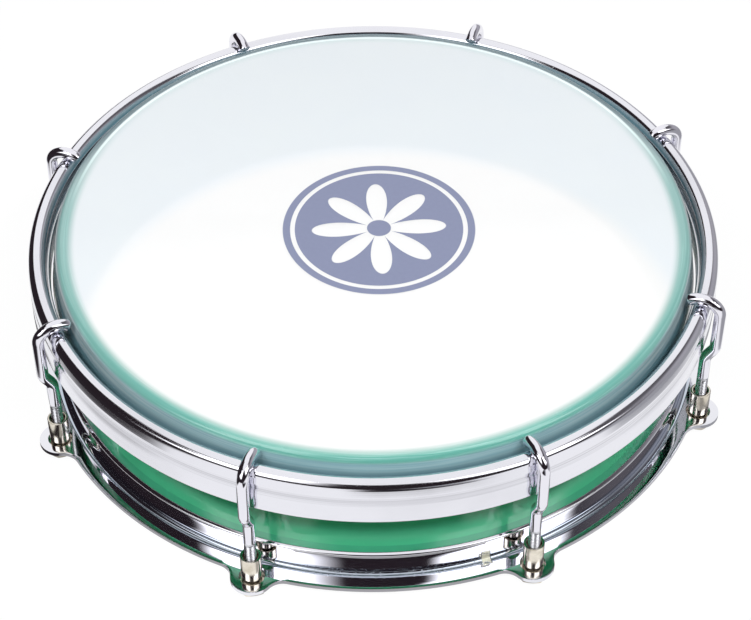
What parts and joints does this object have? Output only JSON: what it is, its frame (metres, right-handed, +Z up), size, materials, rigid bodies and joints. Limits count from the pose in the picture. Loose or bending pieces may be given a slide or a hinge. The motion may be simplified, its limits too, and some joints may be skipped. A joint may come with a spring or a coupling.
{
  "type": "tamborim",
  "caption": "Small round hand-held frame drum: a film head on a green plastic shell, held by a chromed hoop, hook bolts and tube nuts on an eared steel ring.",
  "frame": {"origin": "on the drum's axis, in the plane of the nut heads' undersides that it stands on", "axes": "+Z up through the drumhead, along the drum's axis; -Y towards the front of the picture, midway between two hooks"},
  "size_m": [0.1672, 0.1672, 0.0412],
  "materials": {
    "shell_plastic": "glossy green moulded plastic",
    "film": "milky translucent polyester film, satin",
    "aluminium": "plain drawn aluminium channel",
    "hoop_chrome": "polished chrome on steel strip",
    "ring_chrome": "chrome on pressed steel, with a weld mark",
    "hook_chrome": "bright chromed rod, threaded at its lower end",
    "nickel": "warm bright nickel on turned steel"
  },
  "bodies": {
    "drum": {"shell": "shell_plastic", "lug_ring": "ring_chrome", "drumhead": "film"},
    "hoop": {"counter_hoop": "hoop_chrome", "flesh_hoop": "aluminium"},
    "hook_1": {"tension_hook_1": "hook_chrome"},
    "nut_1": {"tube_nut_1": "nickel"},
    "hook_2": {"tension_hook_2": "hook_chrome"},
    "nut_2": {"tube_nut_2": "nickel"},
    "hook_3": {"tension_hook_3": "hook_chrome"},
    "nut_3": {"tube_nut_3": "nickel"},
    "hook_4": {"tension_hook_4": "hook_chrome"},
    "nut_4": {"tube_nut_4": "nickel"},
    "hook_5": {"tension_hook_5": "hook_chrome"},
    "nut_5": {"tube_nut_5": "nickel"},
    "hook_6": {"tension_hook_6": "hook_chrome"},
    "nut_6": {"tube_nut_6": "nickel"},
    "hook_7": {"tension_hook_7": "hook_chrome"},
    "nut_7": {"tube_nut_7": "nickel"},
    "hook_8": {"tension_hook_8": "hook_chrome"},
    "nut_8": {"tube_nut_8": "nickel"}
  },
  "joints": [
    {"name": "hoop_travel", "type": "slide", "parent": "drum", "child": "hoop", "axis": [0, 0, 1], "range_m": [-0.0005, 0.0025]},
    {"name": "hook_1_travel", "type": "slide", "parent": "drum", "child": "hook_1", "axis": [0, 0, 1], "range_m": [-0.0005, 0.0025]},
    {"name": "nut_1_turn", "type": "hinge", "parent": "drum", "child": "nut_1", "pos_m": [0.03215, -0.07761, 0], "axis": [0, 0, 1], "range_deg": [-1800, 360]},
    {"name": "hook_2_travel", "type": "slide", "parent": "drum", "child": "hook_2", "axis": [0, 0, 1], "range_m": [-0.0005, 0.0025]},
    {"name": "nut_2_turn", "type": "hinge", "parent": "drum", "child": "nut_2", "pos_m": [0.07761, -0.03215, 0], "axis": [0, 0, 1], "range_deg": [-1800, 360]},
    {"name": "hook_3_travel", "type": "slide", "parent": "drum", "child": "hook_3", "axis": [0, 0, 1], "range_m": [-0.0005, 0.0025]},
    {"name": "nut_3_turn", "type": "hinge", "parent": "drum", "child": "nut_3", "pos_m": [0.07761, 0.03215, 0], "axis": [0, 0, 1], "range_deg": [-1800, 360]},
    {"name": "hook_4_travel", "type": "slide", "parent": "drum", "child": "hook_4", "axis": [0, 0, 1], "range_m": [-0.0005, 0.0025]},
    {"name": "nut_4_turn", "type": "hinge", "parent": "drum", "child": "nut_4", "pos_m": [0.03215, 0.07761, 0], "axis": [0, 0, 1], "range_deg": [-1800, 360]},
    {"name": "hook_5_travel", "type": "slide", "parent": "drum", "child": "hook_5", "axis": [0, 0, 1], "range_m": [-0.0005, 0.0025]},
    {"name": "nut_5_turn", "type": "hinge", "parent": "drum", "child": "nut_5", "pos_m": [-0.03215, 0.07761, 0], "axis": [0, 0, 1], "range_deg": [-1800, 360]},
    {"name": "hook_6_travel", "type": "slide", "parent": "drum", "child": "hook_6", "axis": [0, 0, 1], "range_m": [-0.0005, 0.0025]},
    {"name": "nut_6_turn", "type": "hinge", "parent": "drum", "child": "nut_6", "pos_m": [-0.07761, 0.03215, 0], "axis": [0, 0, 1], "range_deg": [-1800, 360]},
    {"name": "hook_7_travel", "type": "slide", "parent": "drum", "child": "hook_7", "axis": [0, 0, 1], "range_m": [-0.0005, 0.0025]},
    {"name": "nut_7_turn", "type": "hinge", "parent": "drum", "child": "nut_7", "pos_m": [-0.07761, -0.03215, 0], "axis": [0, 0, 1], "range_deg": [-1800, 360]},
    {"name": "hook_8_travel", "type": "slide", "parent": "drum", "child": "hook_8", "axis": [0, 0, 1], "range_m": [-0.0005, 0.0025]},
    {"name": "nut_8_turn", "type": "hinge", "parent": "drum", "child": "nut_8", "pos_m": [-0.03215, -0.07761, 0], "axis": [0, 0, 1], "range_deg": [-1800, 360]}
  ],
  "couplings": [
    {"joint": "hook_1_travel", "follows": "hoop_travel", "ratio": 1},
    {"joint": "nut_1_turn", "follows": "hoop_travel", "rad_per_m": -12566},
    {"joint": "hook_2_travel", "follows": "hoop_travel", "ratio": 1},
    {"joint": "nut_2_turn", "follows": "hoop_travel", "rad_per_m": -12566},
    {"joint": "hook_3_travel", "follows": "hoop_travel", "ratio": 1},
    {"joint": "nut_3_turn", "follows": "hoop_travel", "rad_per_m": -12566},
    {"joint": "hook_4_travel", "follows": "hoop_travel", "ratio": 1},
    {"joint": "nut_4_turn", "follows": "hoop_travel", "rad_per_m": -12566},
    {"joint": "hook_5_travel", "follows": "hoop_travel", "ratio": 1},
    {"joint": "nut_5_turn", "follows": "hoop_travel", "rad_per_m": -12566},
    {"joint": "hook_6_travel", "follows": "hoop_travel", "ratio": 1},
    {"joint": "nut_6_turn", "follows": "hoop_travel", "rad_per_m": -12566},
    {"joint": "hook_7_travel", "follows": "hoop_travel", "ratio": 1},
    {"joint": "nut_7_turn", "follows": "hoop_travel", "rad_per_m": -12566},
    {"joint": "hook_8_travel", "follows": "hoop_travel", "ratio": 1},
    {"joint": "nut_8_turn", "follows": "hoop_travel", "rad_per_m": -12566}
  ]
}
